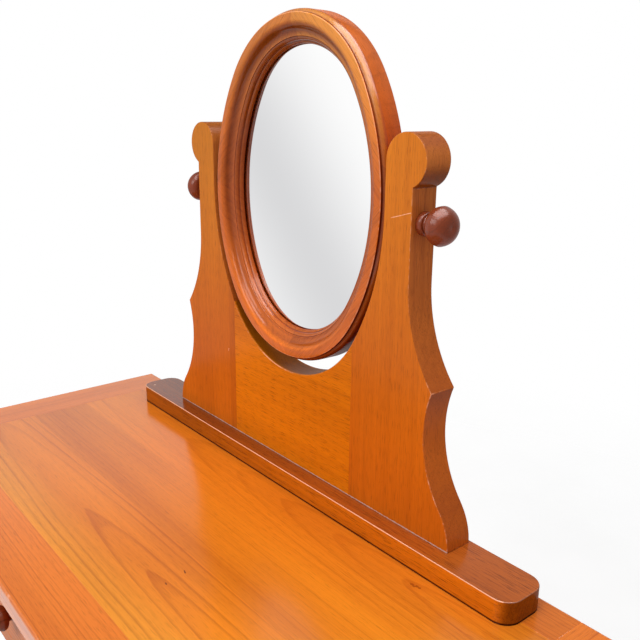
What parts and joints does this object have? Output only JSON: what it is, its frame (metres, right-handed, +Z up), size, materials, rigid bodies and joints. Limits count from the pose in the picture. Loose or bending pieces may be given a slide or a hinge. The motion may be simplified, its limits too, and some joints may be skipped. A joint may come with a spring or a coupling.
{
  "type": "dressing table",
  "caption": "Wooden dressing table with turned legs, frieze drawers and an oval mirror that tilts between two scroll-shaped uprights on a base board.",
  "frame": {"origin": "on the floor under the middle of the table top", "axes": "+Z up, +Y towards the wall behind the table, +X to the right of a person facing the mirror"},
  "size_m": [1, 0.44, 1.3596],
  "materials": {
    "band_wood": "stained and lacquered",
    "base_wood": "stained and lacquered",
    "brass": "turned",
    "carcass_wood": "stained and lacquered",
    "drawer_wood": "bare planed wood",
    "field_wood": "stained and lacquered",
    "frame_wood": "stained and lacquered",
    "front_wood": "stained and lacquered",
    "knob_wood": "stained and lacquered",
    "leg_wood": "stained and lacquered",
    "mirror_glass": "silvered glass",
    "panel_wood": "stained and lacquered",
    "plywood": "bare plywood",
    "steel": "zinc plated",
    "upright_wood": "stained and lacquered"
  },
  "bodies": {
    "table": {"back_left_leg": "leg_wood", "back_panel": "carcass_wood", "back_right_leg": "leg_wood", "drawer_guides": "drawer_wood", "drawer_kickers": "drawer_wood", "drawer_runners": "drawer_wood", "drawer_stops": "drawer_wood", "front_left_leg": "leg_wood", "front_lower_rail": "carcass_wood", "front_right_leg": "leg_wood", "front_upper_rail": "carcass_wood", "left_divider": "carcass_wood", "left_side": "carcass_wood", "pivot_bushes": "brass", "right_divider": "carcass_wood", "right_side": "carcass_wood", "stand_base": "base_wood", "stand_center_panel": "panel_wood", "stand_dowels": "drawer_wood", "stand_left_upright": "upright_wood", "stand_right_upright": "upright_wood", "stand_screws": "steel", "top_back_band": "band_wood", "top_front_band": "band_wood", "top_left_end": "band_wood", "top_panel": "field_wood", "top_right_end": "band_wood", "top_screws": "steel"},
    "mirror": {"mirror_back_screws": "brass", "mirror_backboard": "plywood", "mirror_frame_bottom_left": "frame_wood", "mirror_frame_bottom_right": "frame_wood", "mirror_frame_top_left": "frame_wood", "mirror_frame_top_right": "frame_wood", "mirror_glass": "mirror_glass", "mirror_pivot_inserts": "brass"},
    "left_clamp": {"left_knob": "knob_wood", "left_pivot_stud": "steel"},
    "right_clamp": {"right_knob": "knob_wood", "right_pivot_stud": "steel"},
    "left_drawer": {"left_drawer_back": "drawer_wood", "left_drawer_bottom": "plywood", "left_drawer_front": "front_wood", "left_drawer_left_side": "drawer_wood", "left_drawer_pulls": "knob_wood", "left_drawer_right_side": "drawer_wood"},
    "center_drawer": {"center_drawer_back": "drawer_wood", "center_drawer_bottom": "plywood", "center_drawer_front": "front_wood", "center_drawer_left_side": "drawer_wood", "center_drawer_pulls": "knob_wood", "center_drawer_right_side": "drawer_wood"},
    "right_drawer": {"right_drawer_back": "drawer_wood", "right_drawer_bottom": "plywood", "right_drawer_front": "front_wood", "right_drawer_left_side": "drawer_wood", "right_drawer_pulls": "knob_wood", "right_drawer_right_side": "drawer_wood"}
  },
  "joints": [
    {"name": "mirror_tilt", "type": "hinge", "parent": "table", "child": "mirror", "pos_m": [0, 0.1885, 1.13], "axis": [1, 0, 0], "range_deg": [-80, 80]},
    {"name": "left_knob_turn", "type": "hinge", "parent": "table", "child": "left_clamp", "pos_m": [0, 0.1885, 1.13], "axis": [-1, 0, 0], "range_deg": [0, 360]},
    {"name": "right_knob_turn", "type": "hinge", "parent": "table", "child": "right_clamp", "pos_m": [0, 0.1885, 1.13], "axis": [1, 0, 0], "range_deg": [0, 360]},
    {"name": "left_drawer_slide", "type": "slide", "parent": "table", "child": "left_drawer", "axis": [0, -1, 0], "range_m": [0, 0.26]},
    {"name": "center_drawer_slide", "type": "slide", "parent": "table", "child": "center_drawer", "axis": [0, -1, 0], "range_m": [0, 0.26]},
    {"name": "right_drawer_slide", "type": "slide", "parent": "table", "child": "right_drawer", "axis": [0, -1, 0], "range_m": [0, 0.26]}
  ]
}
